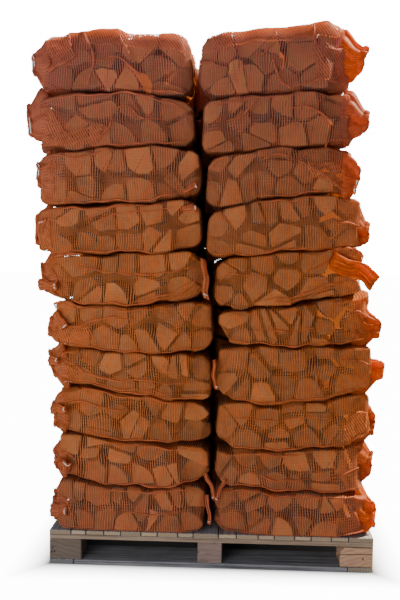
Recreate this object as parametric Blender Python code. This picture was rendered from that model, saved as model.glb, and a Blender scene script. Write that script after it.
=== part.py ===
"""A close-boarded block pallet, 1200 by 1000 mm, loaded with firewood in orange net sacks.

The sacks lie on their sides in two columns, ten layers high and four deep. The cut logs in them
run front to back. X runs along the pallet's front, Y runs to its back, and Z is up from the floor.
Each solid called a sack row is the four sacks that lie behind each other in one column and layer.
"""

import bpy
import bmesh

# Pallet, in metres
PALLET_WIDTH = 1.2
PALLET_DEPTH = 1.0
BOARD_THICKNESS = 0.017
BLOCK_HEIGHT = 0.078
NARROW_BOARD_THICKNESS = 0.015
NARROW_BOARD_SETBACK = 0.003
# Room that each deck board takes along the front, from left to right, with the gap beside it
DECK_PITCHES = (0.082, 0.056, 0.068, 0.063, 0.076, 0.061, 0.077, 0.057, 0.093,
                0.067, 0.080, 0.060, 0.074, 0.061, 0.074, 0.063, 0.088)
DECK_GAP = 0.003
NARROW_BOARD_LIMIT = 0.070
STRINGER_WIDTH = 0.120
RUNNER_WIDTH = 0.090
CROSS_BOARD_WIDTH = 0.145
CORNER_BLOCK_WIDTH = 0.120
MIDDLE_BLOCK_WIDTH = 0.090
BLOCK_DEPTH = 0.120
WANE = 0.022
BOARD_EDGE = 0.0015
BLOCK_EDGE = 0.0025
CONTACT_GAP = 0.0003

# Levels of the pallet's four layers of wood
BLOCK_LEVEL = BOARD_THICKNESS
STRINGER_LEVEL = BLOCK_LEVEL + BLOCK_HEIGHT
DECK_LEVEL = STRINGER_LEVEL + BOARD_THICKNESS

# Sacks, in metres
LOG_LENGTH = 0.250
ROWS_DEEP = 4
GROOVE_DEPTH = 0.028
GROOVE_END_DEPTH = 0.020
SHOULDER = 0.035
FACE_INSET = 0.012
FACE_SHOULDER = 0.020
# An end of a sack: distance in from its tip, and how far it has drawn in from the top and bottom
END_ROUNDING = ((0.045, 0.010), (0.016, 0.034))

# Each column has three places where the heights of its layers are given, and five where they are cut
LEFT_PLACES = (-0.56, -0.32, -0.08)
LEFT_STATIONS = (-0.48, -0.40, -0.32, -0.24, -0.16)
RIGHT_PLACES = (0.02, 0.28, 0.53)
RIGHT_STATIONS = (0.09, 0.17, 0.25, 0.34, 0.42)

# Heights in mm at those places: top of the deck, each joint between two layers, top of the load
LEFT_HEIGHTS = ((129, 129, 129), (328, 296, 303), (500, 466, 450), (672, 648, 616),
                (820, 799, 794), (985, 968, 992), (1155, 1162, 1172), (1332, 1342, 1362),
                (1530, 1548, 1548), (1734, 1742, 1712), (1956, 1953, 1938))
RIGHT_HEIGHTS = ((129, 129, 129), (315, 293, 294), (452, 443, 476), (630, 616, 656),
                 (838, 826, 833), (957, 978, 1028), (1143, 1173, 1188), (1325, 1370, 1373),
                 (1518, 1549, 1552), (1726, 1741, 1752), (1950, 1972, 1962))
# Where each layer's sacks end in mm, left and right, from the bottom layer to the top one
LEFT_ENDS = ((-575, -10), (-574, 0), (-577, 3), (-587, 4), (-594, 6),
             (-627, -20), (-644, -38), (-638, -42), (-660, -66), (-645, -76))
RIGHT_ENDS = ((8, 587), (12, 576), (14, 583), (14, 585), (14, 582),
              (2, 549), (-28, 535), (-32, 513), (-48, 500), (-60, 492))


def clear_scene():
    for obj in list(bpy.data.objects):
        bpy.data.objects.remove(obj, do_unlink=True)


def make_material(name, colour, roughness):
    material = bpy.data.materials.new(name)
    material.use_nodes = True
    shader = material.node_tree.nodes["Principled BSDF"]
    shader.inputs["Base Color"].default_value = (*colour, 1.0)
    shader.inputs["Roughness"].default_value = roughness
    shader.inputs["Metallic"].default_value = 0.0
    return material


def add_object(name, bm, material, parent):
    mesh = bpy.data.meshes.new(name)
    bm.to_mesh(mesh)
    bm.free()
    mesh.materials.append(material)
    obj = bpy.data.objects.new(name, mesh)
    obj.parent = parent
    bpy.context.scene.collection.objects.link(obj)
    return obj


def add_timber(name, low, size, edge, material, parent, wane=0.0):
    """A sawn piece from its lowest corner and its size. Wane takes its upper left long edge off."""
    bm = bmesh.new()
    bmesh.ops.create_cube(bm, size=1.0)
    for vert in bm.verts:
        for axis in range(3):
            vert.co[axis] *= size[axis]
    if wane:
        corner = [e for e in bm.edges if all(v.co.x < 0 and v.co.z > 0 for v in e.verts)]
        bmesh.ops.bevel(bm, geom=corner, offset=wane, segments=1, affect="EDGES")
    obj = add_object(name, bm, material, parent)
    obj.location = [low[axis] + size[axis] / 2 for axis in range(3)]
    bevel = obj.modifiers.new("SawnEdge", "BEVEL")
    bevel.width = edge
    bevel.segments = 1
    return obj


def add_deck(material, parent):
    """Boards of two widths, laid front to back. The narrow ones are thinner and set back a little."""
    left = -PALLET_WIDTH / 2
    for number, pitch in enumerate(DECK_PITCHES, start=1):
        narrow = pitch < NARROW_BOARD_LIMIT
        setback = NARROW_BOARD_SETBACK if narrow else 0.0
        thickness = NARROW_BOARD_THICKNESS if narrow else BOARD_THICKNESS
        last = number == len(DECK_PITCHES)
        width = pitch if last else pitch - DECK_GAP
        add_timber(f"deck_board_{number:02d}",
                   (left, setback - PALLET_DEPTH / 2, DECK_LEVEL),
                   (width, PALLET_DEPTH - 2 * setback, thickness - CONTACT_GAP),
                   BOARD_EDGE, material, parent)
        left += pitch


def add_stringers(material, parent):
    """Three boards along X that carry the deck."""
    starts = {"front": -PALLET_DEPTH / 2,
              "middle": -STRINGER_WIDTH / 2,
              "back": PALLET_DEPTH / 2 - STRINGER_WIDTH}
    for side, start in starts.items():
        add_timber(f"stringer_board_{side}", (-PALLET_WIDTH / 2, start, STRINGER_LEVEL),
                   (PALLET_WIDTH, STRINGER_WIDTH, BOARD_THICKNESS - CONTACT_GAP),
                   BOARD_EDGE, material, parent)


def add_blocks(material, parent):
    """Three rows of three blocks. One front corner block was sawn from the edge of the log."""
    across = {"left": (-PALLET_WIDTH / 2, CORNER_BLOCK_WIDTH),
              "middle": (-MIDDLE_BLOCK_WIDTH / 2, MIDDLE_BLOCK_WIDTH),
              "right": (PALLET_WIDTH / 2 - CORNER_BLOCK_WIDTH, CORNER_BLOCK_WIDTH)}
    along = {"front": -PALLET_DEPTH / 2,
             "middle": -BLOCK_DEPTH / 2,
             "back": PALLET_DEPTH / 2 - BLOCK_DEPTH}
    for depth_name, start in along.items():
        for side, (left, width) in across.items():
            waney = depth_name == "front" and side == "right"
            add_timber(f"block_{depth_name}_{side}", (left, start, BLOCK_LEVEL),
                       (width, BLOCK_DEPTH, BLOCK_HEIGHT - CONTACT_GAP),
                       BLOCK_EDGE, material, parent, wane=WANE if waney else 0.0)


def add_base(material, parent):
    """Two side runners over the full depth, two cross boards between them, one middle runner."""
    thickness = BOARD_THICKNESS - CONTACT_GAP
    half_depth = PALLET_DEPTH / 2
    sides = {"left": -PALLET_WIDTH / 2, "right": PALLET_WIDTH / 2 - RUNNER_WIDTH}
    for side, left in sides.items():
        add_timber(f"bottom_runner_{side}", (left, -half_depth, 0.0),
                   (RUNNER_WIDTH, PALLET_DEPTH, thickness), BOARD_EDGE, material, parent)
    inner = PALLET_WIDTH / 2 - RUNNER_WIDTH - DECK_GAP
    starts = {"front": -half_depth, "back": half_depth - CROSS_BOARD_WIDTH}
    for side, start in starts.items():
        add_timber(f"bottom_cross_board_{side}", (-inner, start, 0.0),
                   (2 * inner, CROSS_BOARD_WIDTH, thickness), BOARD_EDGE, material, parent)
    reach = half_depth - CROSS_BOARD_WIDTH - DECK_GAP
    add_timber("bottom_runner_middle", (-RUNNER_WIDTH / 2, -reach, 0.0),
               (RUNNER_WIDTH, 2 * reach, thickness), BOARD_EDGE, material, parent)


def joint_height(x, places, heights):
    """Height in metres at x of the smooth curve through three heights given in mm."""
    (a, b, c), (ha, hb, hc) = places, heights
    curve = (ha * (x - b) * (x - c) / ((a - b) * (a - c))
             + hb * (x - a) * (x - c) / ((b - a) * (b - c))
             + hc * (x - a) * (x - b) / ((c - a) * (c - b)))
    return curve / 1000


def sack_section(column, layer, inset):
    """Outline of a sack across its logs, as (x, z) points drawn in by inset, with x and z up.

    The top and bottom follow the joints to the next layers, and the ends are drawn in roundly.
    """
    places, stations, heights, ends = column
    draw = min(inset, GROOVE_END_DEPTH)
    left = ends[layer][0] / 1000 + draw
    right = ends[layer][1] / 1000 - draw

    def bottom(x, more=0.0):
        return x, joint_height(x, places, heights[layer]) + CONTACT_GAP / 2 + inset + more

    def top(x, more=0.0):
        return x, joint_height(x, places, heights[layer + 1]) - CONTACT_GAP / 2 - inset - more

    def tip(x):
        return x, (bottom(x)[1] + top(x)[1]) / 2

    outline = [bottom(x) for x in stations]
    outline += [bottom(right - reach, more) for reach, more in END_ROUNDING]
    outline += [tip(right)]
    outline += [top(right - reach, more) for reach, more in reversed(END_ROUNDING)]
    outline += [top(x) for x in reversed(stations)]
    outline += [top(left + reach, more) for reach, more in END_ROUNDING]
    outline += [tip(left)]
    outline += [bottom(left + reach, more) for reach, more in reversed(END_ROUNDING)]
    return outline


def row_stations():
    """(y, inset) along a row of sacks: a soft front, a groove between sacks, and a soft back."""
    front = -ROWS_DEEP * LOG_LENGTH / 2
    stations = [(front, FACE_INSET), (front + FACE_SHOULDER, 0.0)]
    for sack in range(1, ROWS_DEEP):
        groove = front + sack * LOG_LENGTH
        stations += [(groove - SHOULDER, 0.0), (groove, GROOVE_DEPTH), (groove + SHOULDER, 0.0)]
    stations += [(-front - FACE_SHOULDER, 0.0), (-front, FACE_INSET)]
    return stations


def add_sack_row(name, column, layer, material, parent):
    """One closed body: the section carried from front to back through the row's stations."""
    bm = bmesh.new()
    rings = []
    for y, inset in row_stations():
        ring = [bm.verts.new((x, y, z)) for x, z in sack_section(column, layer, inset)]
        rings.append(ring)
    for first, second in zip(rings, rings[1:]):
        for i, corner in enumerate(first):
            following = (i + 1) % len(first)
            bm.faces.new((corner, second[i], second[following], first[following]))
    bm.faces.new(rings[0])
    bm.faces.new(list(reversed(rings[-1])))
    bmesh.ops.recalc_face_normals(bm, faces=bm.faces)
    obj = add_object(name, bm, material, parent)
    obj.data.shade_smooth()
    obj.data.set_sharp_from_angle(angle=0.8)
    return obj


def add_load(material, parent):
    left = (LEFT_PLACES, LEFT_STATIONS, LEFT_HEIGHTS, LEFT_ENDS)
    right = (RIGHT_PLACES, RIGHT_STATIONS, RIGHT_HEIGHTS, RIGHT_ENDS)
    for side, column in (("left", left), ("right", right)):
        for layer in range(len(column[3])):
            add_sack_row(f"sack_row_{side}_{layer + 1:02d}", column, layer, material, parent)


def main():
    clear_scene()
    pallet = bpy.data.objects.new("pallet", None)
    bpy.context.scene.collection.objects.link(pallet)
    deck_wood = make_material("weathered_softwood", (0.19, 0.18, 0.17), 0.85)
    base_wood = make_material("sawn_softwood", (0.26, 0.20, 0.15), 0.8)
    net = make_material("orange_net_with_logs", (0.42, 0.13, 0.05), 0.7)
    add_deck(deck_wood, pallet)
    add_stringers(base_wood, pallet)
    add_blocks(base_wood, pallet)
    add_base(base_wood, pallet)
    add_load(net, pallet)


main()
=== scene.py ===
"""Looks of a close-boarded pallet loaded with firewood in orange net sacks.

Each net is a closed skin drawn over real split logs: it rests on the logs that stand proud and
spans the hollows between them. The skins stand where the CAD sack rows are. X runs along the
pallet's front, Y runs to its back and Z is up.
"""

import math
from functools import partial

import bpy
import numpy as np
from mathutils import Matrix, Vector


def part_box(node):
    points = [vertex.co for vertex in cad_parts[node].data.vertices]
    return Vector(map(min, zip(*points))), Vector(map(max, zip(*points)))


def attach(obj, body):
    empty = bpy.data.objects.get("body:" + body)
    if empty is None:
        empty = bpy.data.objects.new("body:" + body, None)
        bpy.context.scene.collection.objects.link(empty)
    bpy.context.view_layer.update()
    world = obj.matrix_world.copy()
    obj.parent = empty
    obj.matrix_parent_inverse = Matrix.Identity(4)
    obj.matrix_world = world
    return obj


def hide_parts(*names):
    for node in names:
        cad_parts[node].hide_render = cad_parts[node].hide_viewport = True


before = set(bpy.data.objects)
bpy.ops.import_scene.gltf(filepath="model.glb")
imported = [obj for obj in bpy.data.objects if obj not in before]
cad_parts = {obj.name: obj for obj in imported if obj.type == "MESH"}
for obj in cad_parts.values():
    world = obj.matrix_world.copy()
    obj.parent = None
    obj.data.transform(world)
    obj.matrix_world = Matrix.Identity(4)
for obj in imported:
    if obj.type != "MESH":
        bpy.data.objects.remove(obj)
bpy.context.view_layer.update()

# The stack, as in the CAD
SIDES = ("left", "right")
LAYERS = 10
ROWS_DEEP = 4
LOG_LENGTH = 0.250
BELLY_STATION = 0.020
END_ROUNDING = 0.055
END_REACH = 0.998
FRONT = -ROWS_DEEP * LOG_LENGTH / 2

# A sack's form. The powers shape the rounding of its ends and of its edges.
NET_CLEARANCE = 0.0006
OUTER_END_POWER = 20
INNER_END_POWER = 14
PACKED_END_POWER = 90
PACKED_OVERLAP = 0.014
END_ROOT = 0.5
DEPTH_POWER = 14
DEPTH_ROOT = 0.3
EDGE_POWER = 12
TOP_EDGE_POWER = 4
LOWEST_EDGE_POWER = 26
MOST_SAG = 0.032
MOST_STAND = 0.018
CORNER_SHARE = 0.5
NET_LIFT = (0.0018, 0.0034)
FOLD_WIDTH = 0.8
FOLD_SWAY = 0.012
FOLD_LIFT = 0.0008
FLAP_LIFT = 0.0042
FLAP_CREASE = 0.0022
FLAP_THICKNESS = 0.0012
FLAP_TURN = 0.5
FRONT_REACH = 0.009
LOWEST_OVERHANG = 0.017
TOP_RISE = 0.006
ROW_STEP = 0.011
PUSHED_IN = 0.016
USUAL_HEIGHT = 0.18
TIGHTENING_ROUNDS = 120
EMPTY_END = (0.0, 0.010)
WAVES = ((0.0040, 0.190), (0.0024, 0.083))
OUTLINE_COLUMNS = 15

# What the random draws of a joint, and of a row in each column, start from
JOINT_SEED = 77
LAYER_SEED = 1000
SIDE_SEED = 500

# Lengths in metres below which places are the same, a line's speed below which it is parallel, and
# a way longer than any in the stack
SAME_PLACE = 1e-4
SLACK = 1e-6
PARALLEL = 1e-9
FAR = 1.0

# Humps along the top of the stack: middle in X, half width and height. Behind the front they are lower.
HUMPS = {"left": ((-0.600, 0.050, 0.012), (-0.432, 0.085, 0.012), (-0.165, 0.060, 0.011)),
         "right": ((0.362, 0.028, 0.008), (0.455, 0.080, 0.024))}
BACK_HUMP_SHARE = 0.5

# Logs in a sack, for the front row and the rows behind it
LOG_COUNTS = ((10, 12), (8, 10))
HALVED = (4, 2)
SEED_TRIES = 14
SEED_MARGIN = 0.02
SEED_HEIGHTS = (0.10, 0.80)
END_INSET = 0.006
EDGE_INSET = (0.0038, 0.0060)
LOG_GAP = (0.0012, 0.0105)
TOP_GAP_SHARE = 0.35
LOG_RECESS = (0.005, 0.016)
TOP_RECESS = (0.010, 0.020)
DEEP_SHARE = 0.17
DEEP_RECESS = (0.012, 0.040)
END_SLOPE = 0.12
RIM = 0.0035
END_SHARE = 0.8
BARK_SHARE = 0.8
TOP_BARK_SHARE = 0.16
LEAST_SECTION = 3e-4
BARK_REACH = (0.66, 0.90)
BARK_TURNS = np.linspace(-0.9, 0.9, 8)
BLUNTED_ANGLE = math.radians(78)
BLUNTED_LENGTH = (0.006, 0.018)

# Columns along a net and steps round it, for the front, inner and back rows
NET_FINENESS = ((118, 90), (30, 36), (30, 36), (60, 52))
TOP_FINENESS = (70, 64)

# The knitted net, in metres of cloth: its strands and inlays, how far the strands wander to a side,
# and the inlay's zigzag as a share of its pitch
WALE_PITCH = 0.0085
INLAY_PITCH = 0.0105
STRAND_WANDER = 0.030
ZIGZAG = 0.9

# Where the net is drawn together: the distances from the stack's middle, and the heights, over which the
# painted sun glow on top grows as well
STACK_MIDDLE = -0.05
GATHERED_ENDS = (0.47, 0.5811)
GATHERED_TOP = (1.925, 1.975)

# A mouth's rings: place from root to hem, and width. The rim is turned in after the ring of the hem.
MOUTH_RINGS = ((-0.3, 1.0), (-0.12, 1.0), (0.0, 1.0), (0.12, 1.0), (0.25, 1.0), (0.38, 1.0), (0.5, 1.0),
               (0.6, 1.0), (0.68, 0.97), (0.73, 0.93), (0.78, 1.02), (0.87, 1.06), (0.95, 1.04),
               (1.0, 0.98), (0.985, 0.86), (0.9, 0.76))
HEM_RING = 11
HEM_THICKNESS = 0.0035
STRING_RADIUS = 0.0018

# Mouths behind the front row, in metres: how deep they start in the sack, how far they reach out of
# it, half the width of root and hem, and half the root's thickness
HIDDEN_START = 0.024
HIDDEN_REACH = (0.044, 0.058)
HIDDEN_ROOT = 0.050
HIDDEN_HEM = (0.022, 0.036)
HIDDEN_THICKNESS = 0.026

# A direction that no string runs in, from which the rings of its tube are turned
OFF_AXIS = (0.3, 0.2, 0.93)

# Half the depth within which the nets of two rows press face to face and close each other's holes
PRESSED_REACH = 0.34

# The net's pale mauve, mixed in as a painted sky reflection on the upper layers and as a greying towards
# the bottom, the heights between which each of them grows, and its most
SHEEN_AND_GREYING_NET = "#A46C74"
SHEEN_HEIGHTS = (1.15, 1.95)
MOST_SHEEN = 0.75
GREYING_HEIGHTS = (0.55, 0.2167)
MOST_GREYING = 0.3

# The net's colour on top of the stack, a deeper orange painted for the sun's glow through the net, and in
# the shade between the strands of a double net
TOP_GLOW_NET = "#D2560E"
SHADED_NET = "#6E3418"

# Wood and string, in metres: a log's year ring, the dark lines of boards and blocks, the radius of a
# nail hole, and one turn of the string's twist
YEAR_RING = 0.0045
BOARD_RING = 0.005
BLOCK_RING = 0.009
NAIL_HOLE = 0.0042
STRING_TWIST = 0.002618

# Face and end of the deck boards, in turn
DECK_TONES = (("#9496A0", "#B6A282"), ("#8A8A92", "#9A886E"),
              ("#999698", "#C2AE8A"), ("#84868E", "#A89474"))

# Materials of a net and of a log, in the order of their slots
NET_KINDS = ("net", "gathered", "loose", "folded", "drawn")
LOG_KINDS = ("end", "split", "bark")

# Light
SKY_STRENGTH = 0.30
BACKDROP_STRENGTH = 16.0
SUN_STRENGTH = 18.0
FILL_POWER = 106.0
FLOOR_GLOW = 14.0
FLOOR_HALF = 30.0

# The photograph's camera, fitted to the pallet's corners: place in metres, then yaw, pitch and roll
# in degrees, the focal length and the picture's size in pixels
CAMERA_PLACE = (0.099, -3.3, 1.195)
CAMERA_TURNS = (-2.92, -4.06, 0.5)
FOCAL_PIXELS = 775.8
PICTURE = (400, 600)

# Mouths of the front sacks, by where they show in the picture: the upper and lower end of the root,
# the upper and lower end of the hem, then the depths of root and hem and half the root's thickness
MOUTHS = {
    ("left", 10): ((45, 40), (44, 88), (31, 57), (33, 76), -0.448, -0.470, 0.030),
    ("left", 9): ((41, 90), (48, 147), (26, 107), (28, 134), -0.446, -0.470, 0.032),
    ("left", 8): ((48, 152), (50, 201), (36, 165), (37, 187), -0.448, -0.474, 0.030),
    ("left", 7): ((47, 203), (57, 256), (35, 216), (35, 243), -0.446, -0.468, 0.030),
    ("left", 6): ((53, 253), (65, 300), (40, 264), (43, 289), -0.446, -0.468, 0.028),
    ("left", 5): ((62, 303), (62, 345), (49, 319), (47, 336), -0.446, -0.468, 0.026),
    ("left", 4): ((60, 341), (66, 389), (48, 352), (53, 376), -0.446, -0.468, 0.028),
    ("left", 3): ((62, 390), (64, 433), (52, 402), (54, 425), -0.446, -0.468, 0.028),
    ("left", 2): ((61, 438), (64, 479), (53, 449), (55, 467), -0.446, -0.468, 0.026),
    ("left", 1): ((62, 479), (62, 525), (53, 491), (53, 518), -0.446, -0.468, 0.028),
    ("right", 10): ((347, 33), (344, 87), (369, 49), (362, 71), -0.430, -0.465, 0.040),
    ("right", 9): ((351, 92), (348, 147), (370, 112), (369, 128), -0.425, -0.455, 0.036),
    ("right", 8): ((349, 150), (346, 203), (362, 170), (356, 193), -0.460, -0.478, 0.028),
    ("right", 7): ((356, 203), (347, 254), (370, 224), (369, 241), -0.430, -0.460, 0.036),
    ("right", 6): ((346, 255), (340, 272), (381, 275), (371, 289), -0.500, -0.484, 0.012),
    ("right", 5): ((363, 299), (357, 349), (382, 325), (379, 339), -0.430, -0.455, 0.038),
    ("right", 4): ((364, 350), (358, 396), (385, 365), (383, 379), -0.435, -0.460, 0.036),
    ("right", 3): ((364, 396), (358, 447), (376, 414), (374, 433), -0.430, -0.450, 0.036),
    ("right", 2): ((362, 440), (357, 487), (373, 453), (371, 473), -0.435, -0.455, 0.034),
    ("right", 1): ((361, 485), (363, 533), (376, 506), (375, 528), -0.445, -0.465, 0.036),
}

# Mouths whose string shows. The others point away from the camera or are folded back.
STRUNG = (("left", 10), ("left", 9), ("left", 8), ("right", 8))

# Layers whose right mouths are closely gathered and glow in the sun. They take the bright gathered net,
# and the other right mouths the darker drawn net, a painted shade.
SUNLIT = (10, 6, 4, 1)

# Gathers folded back over the front, and tufts that hang in the middle gap, told in the same way
TUFTS = {
    ("left", 8): [((186, 188), (188, 192), (196, 181), (198, 187), -0.480, -0.490, 0.008)],
    ("left", 7): [((38, 241), (46, 240), (38, 220), (46, 218), -0.470, -0.490, 0.006),
                  ((186, 205), (186, 212), (197, 206), (197, 213), -0.480, -0.490, 0.008)],
    ("left", 6): [((43, 280), (44, 292), (57, 282), (57, 290), -0.474, -0.504, 0.006)],
    ("left", 5): [((55, 318), (60, 313), (62, 331), (68, 326), -0.500, -0.510, 0.005)],
    ("left", 4): [((51, 356), (52, 366), (58, 357), (58, 364), -0.474, -0.500, 0.005)],
    ("left", 3): [((55, 404), (55, 414), (66, 406), (66, 413), -0.474, -0.504, 0.006)],
    ("left", 2): [((58, 464), (69, 470), (57, 458), (71, 464), -0.490, -0.506, 0.004)],
    ("left", 1): [((55, 503), (55, 517), (67, 505), (67, 516), -0.474, -0.506, 0.006)],
    ("right", 6): [((201, 267), (207, 270), (204, 298), (210, 301), -0.486, -0.498, 0.010)],
    ("right", 4): [((212, 367), (216, 366), (213, 388), (217, 390), -0.486, -0.496, 0.008)],
    ("right", 2): [((206, 480), (210, 478), (214, 500), (217, 499), -0.486, -0.500, 0.005),
                   ((222, 483), (225, 485), (213, 500), (216, 502), -0.486, -0.500, 0.005)],
    ("right", 1): [((206, 502), (210, 501), (208, 524), (211, 525), -0.486, -0.496, 0.005)],
}

# Sacks with nothing but net and hollow at the front of the outer end, and how deep it is in metres
HOLLOW_ENDS = {("left", 10): 0.050, ("left", 9): 0.070, ("left", 6): 0.030, ("left", 4): 0.040,
               ("right", 10): 0.050, ("right", 9): 0.040, ("right", 8): 0.060, ("right", 5): 0.040,
               ("right", 1): 0.040}
HOLLOW_LENGTH = 0.10

# Gathered folds on the front sacks: width in mm, then (along, up) in hundredths of the front.
# More than 100 up runs on over the top.
FOLDS = {
    ("left", 10): [
        (8, (20, 110), (23, 80), (27, 56)), (12, (28, 120), (36, 78), (38, 48), (34, 10)),
        (10, (52, 115), (58, 78), (63, 48)), (9, (38, 52), (54, 54), (68, 28)),
        (12, (-1, 28), (10, 40), (20, 50), (27, 60)), (7, (3, 85), (12, 68), (20, 48)),
        (8, (66, 5), (80, 3), (96, -2))],
    ("left", 9): [
        (12, (1, 30), (10, 27), (15, 18), (20, 32), (27, 16)), (8, (3, 93), (11, 66), (17, 33)),
        (8, (50, 66), (49, 38), (41, 5)), (8, (50, 70), (60, 72), (68, 52), (82, 55)),
        (9, (2, 98), (30, 96), (58, 99), (84, 90), (97, 78)), (7, (36, 2), (60, 1), (96, 0))],
    ("left", 8): [
        (8, (10, 96), (12, 70), (8, 45)), (9, (10, 97), (30, 88), (42, 95)),
        (9, (5, 2), (40, 0), (72, 2), (97, 16))],
    ("left", 7): [
        (9, (6, 96), (35, 97), (75, 99)), (9, (9, 90), (6, 62), (8, 35)), (9, (10, 2), (45, 2), (80, 0)),
        (6, (30, 74), (60, 84), (85, 86))],
    ("left", 6): [
        (8, (22, 78), (40, 68), (60, 60), (82, 62), (98, 74)),
        (10, (14, 2), (40, 3), (60, 0), (80, 12), (98, 34)), (7, (55, 6), (75, 16), (97, 44)),
        (12, (1, 78), (9, 55), (13, 8)), (20, (2, 98), (12, 104), (26, 103))],
    ("left", 5): [
        (12, (9, 46), (20, 52), (34, 74), (52, 76)), (8, (10, 5), (40, 0), (95, 1)),
        (7, (12, 95), (45, 97), (70, 90)), (15, (2, 98), (10, 103), (22, 103))],
    ("left", 4): [
        (12, (5, 72), (16, 52), (24, 34), (50, 30)), (8, (22, 30), (50, 33), (94, 42)),
        (9, (18, 4), (55, 2), (90, 3)), (6, (20, 14), (50, 10), (80, 14))],
    ("left", 3): [
        (11, (1, 62), (10, 72), (30, 66), (48, 66)), (9, (20, 4), (50, 1), (78, 2)),
        (8, (5, 97), (40, 99), (90, 98))],
    ("left", 2): [
        (10, (2, 66), (10, 50), (14, 42)), (9, (25, 3), (60, 0), (92, 4)),
        (7, (30, 97), (60, 99), (85, 98))],
    ("left", 1): [
        (11, (1, 68), (8, 58), (12, 30)), (7, (38, 46), (60, 44), (85, 48)),
        (8, (30, 96), (70, 99), (92, 96))],
    ("right", 10): [
        (8, (0, 60), (7, 56), (16, 44)), (13, (47, 55), (52, 20), (60, 3)),
        (8, (36, 55), (42, 62), (48, 84)), (9, (74, 125), (73, 92), (74, 66)),
        (9, (62, 5), (78, 12), (95, 14)), (8, (80, 72), (90, 58), (97, 56))],
    ("right", 9): [
        (10, (16, 55), (28, 66), (36, 92)), (10, (56, 68), (68, 72), (76, 60), (84, 34)),
        (8, (4, 90), (30, 94), (60, 97)), (9, (90, 50), (97, 54), (100, 52))],
    ("right", 8): [
        (7, (36, 78), (46, 86), (62, 74)), (11, (62, 72), (75, 44), (90, 10)), (8, (62, 72), (68, 98)),
        (7, (36, 2), (60, 1), (85, 4))],
    ("right", 7): [
        (7, (5, 3), (40, 1), (85, 6)), (8, (80, 52), (90, 48), (99, 46)), (6, (30, 97), (70, 98))],
    ("right", 6): [
        (9, (33, 12), (55, 17), (74, 28), (96, 30)), (7, (40, 6), (60, 10), (80, 24)),
        (8, (58, 62), (70, 70), (77, 86)), (7, (2, 62), (12, 70), (28, 62)),
        (16, (74, 102), (88, 104), (98, 99))],
    ("right", 5): [
        (7, (10, 4), (50, 2), (90, 6)), (10, (84, 70), (92, 62), (100, 40)),
        (6, (20, 42), (45, 40), (70, 44))],
    ("right", 4): [
        (10, (10, 3), (45, 3), (88, 10)), (9, (78, 80), (88, 72), (98, 60)),
        (5, (62, 95), (63, 50), (66, 5))],
    ("right", 3): [
        (6, (2, 66), (30, 68), (75, 68)), (8, (10, 3), (50, 2), (90, 4))],
    ("right", 2): [
        (10, (22, 42), (38, 30), (62, 26)), (9, (12, 97), (40, 92), (62, 97)),
        (9, (10, 2), (45, 1), (90, 4)), (8, (72, 30), (86, 44), (98, 46))],
    ("right", 1): [
        (8, (10, 98), (50, 97), (88, 97)), (8, (84, 78), (90, 50), (95, 20))],
}

# Loose second layers of net at the front sacks' ends, as four (along, up) corners in hundredths
FLAPS = {
    ("left", 10): [
        ((0, 30), (26, 58), (22, 105), (3, 98)), ((30, 84), (97, 80), (95, 150), (30, 150))],
    ("left", 9): [
        ((0, 30), (22, 30), (12, 85), (2, 90)), ((3, 6), (42, 6), (45, 40), (5, 26))],
    ("left", 7): [
        ((1, 10), (10, 12), (9, 85), (2, 80))],
    ("left", 5): [
        ((2, 10), (30, 6), (26, 50), (2, 50))],
    ("left", 4): [
        ((1, 5), (20, 4), (22, 35), (3, 60))],
    ("right", 10): [
        ((8, 86), (90, 86), (90, 150), (8, 150)), ((76, 10), (96, 20), (97, 62), (72, 66))],
    ("right", 8): [
        ((68, 40), (92, 8), (99, 60), (66, 70))],
    ("right", 3): [
        ((80, 8), (97, 15), (98, 60), (84, 66))],
}


def rgb(code):
    """Linear colour of an sRGB hex code."""
    parts = [int(code[i:i + 2], 16) / 255 for i in (1, 3, 5)]
    return [p / 12.92 if p <= 0.04045 else ((p + 0.055) / 1.055) ** 2.4 for p in parts]


def add_node(tree, kind, *terms, stops=(), **settings):
    """Adds a shader node. Its terms go to its inputs in turn, and a setting in_NAME to the input NAME.

    A term is another node, an output of one, a number or a hex colour. A kind in capitals is the
    operation of a Math node. Stops are a ramp's (place, hex colour), and any other setting is the
    node's own.
    """
    made = tree.nodes.new("ShaderNode" + ("Math" if kind.isupper() else kind))
    if kind.isupper():
        made.operation = kind
    named = [name for name in settings if name.startswith("in_")]
    for name in settings.keys() - named:
        setattr(made, name, settings[name])
    given = list(zip([socket for socket in made.inputs if socket.enabled], terms))
    given += [(made.inputs[name[3:].replace("_", " ")], settings[name]) for name in named]
    for socket, term in given:
        if isinstance(term, bpy.types.Node):
            term = next(output for output in term.outputs if output.enabled)
        if isinstance(term, bpy.types.NodeSocket):
            tree.links.new(term, socket)
        else:
            socket.default_value = (*rgb(term), 1.0) if isinstance(term, str) else term
    for k, (place, code) in enumerate(stops):
        points = made.color_ramp.elements
        point = points[k] if k < len(points) else points.new(place)
        point.position = place
        point.color = (*rgb(code), 1.0)
    return made


def new_material(name):
    """A material with an empty tree, and the function that adds nodes to it."""
    material = bpy.data.materials.new(name)
    material.use_nodes = True
    material.node_tree.nodes.clear()
    return material, partial(add_node, material.node_tree)


def rough_surface(add, colour, roughness, height, strength, depth):
    """Ends a material with a matt surface of the colour, bumped by the height."""
    bump = add("Bump", in_Height=height, in_Strength=strength, in_Distance=depth)
    matt = add("BsdfPrincipled", in_Base_Color=colour, in_Roughness=roughness, in_Normal=bump)
    add("OutputMaterial", matt)


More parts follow.
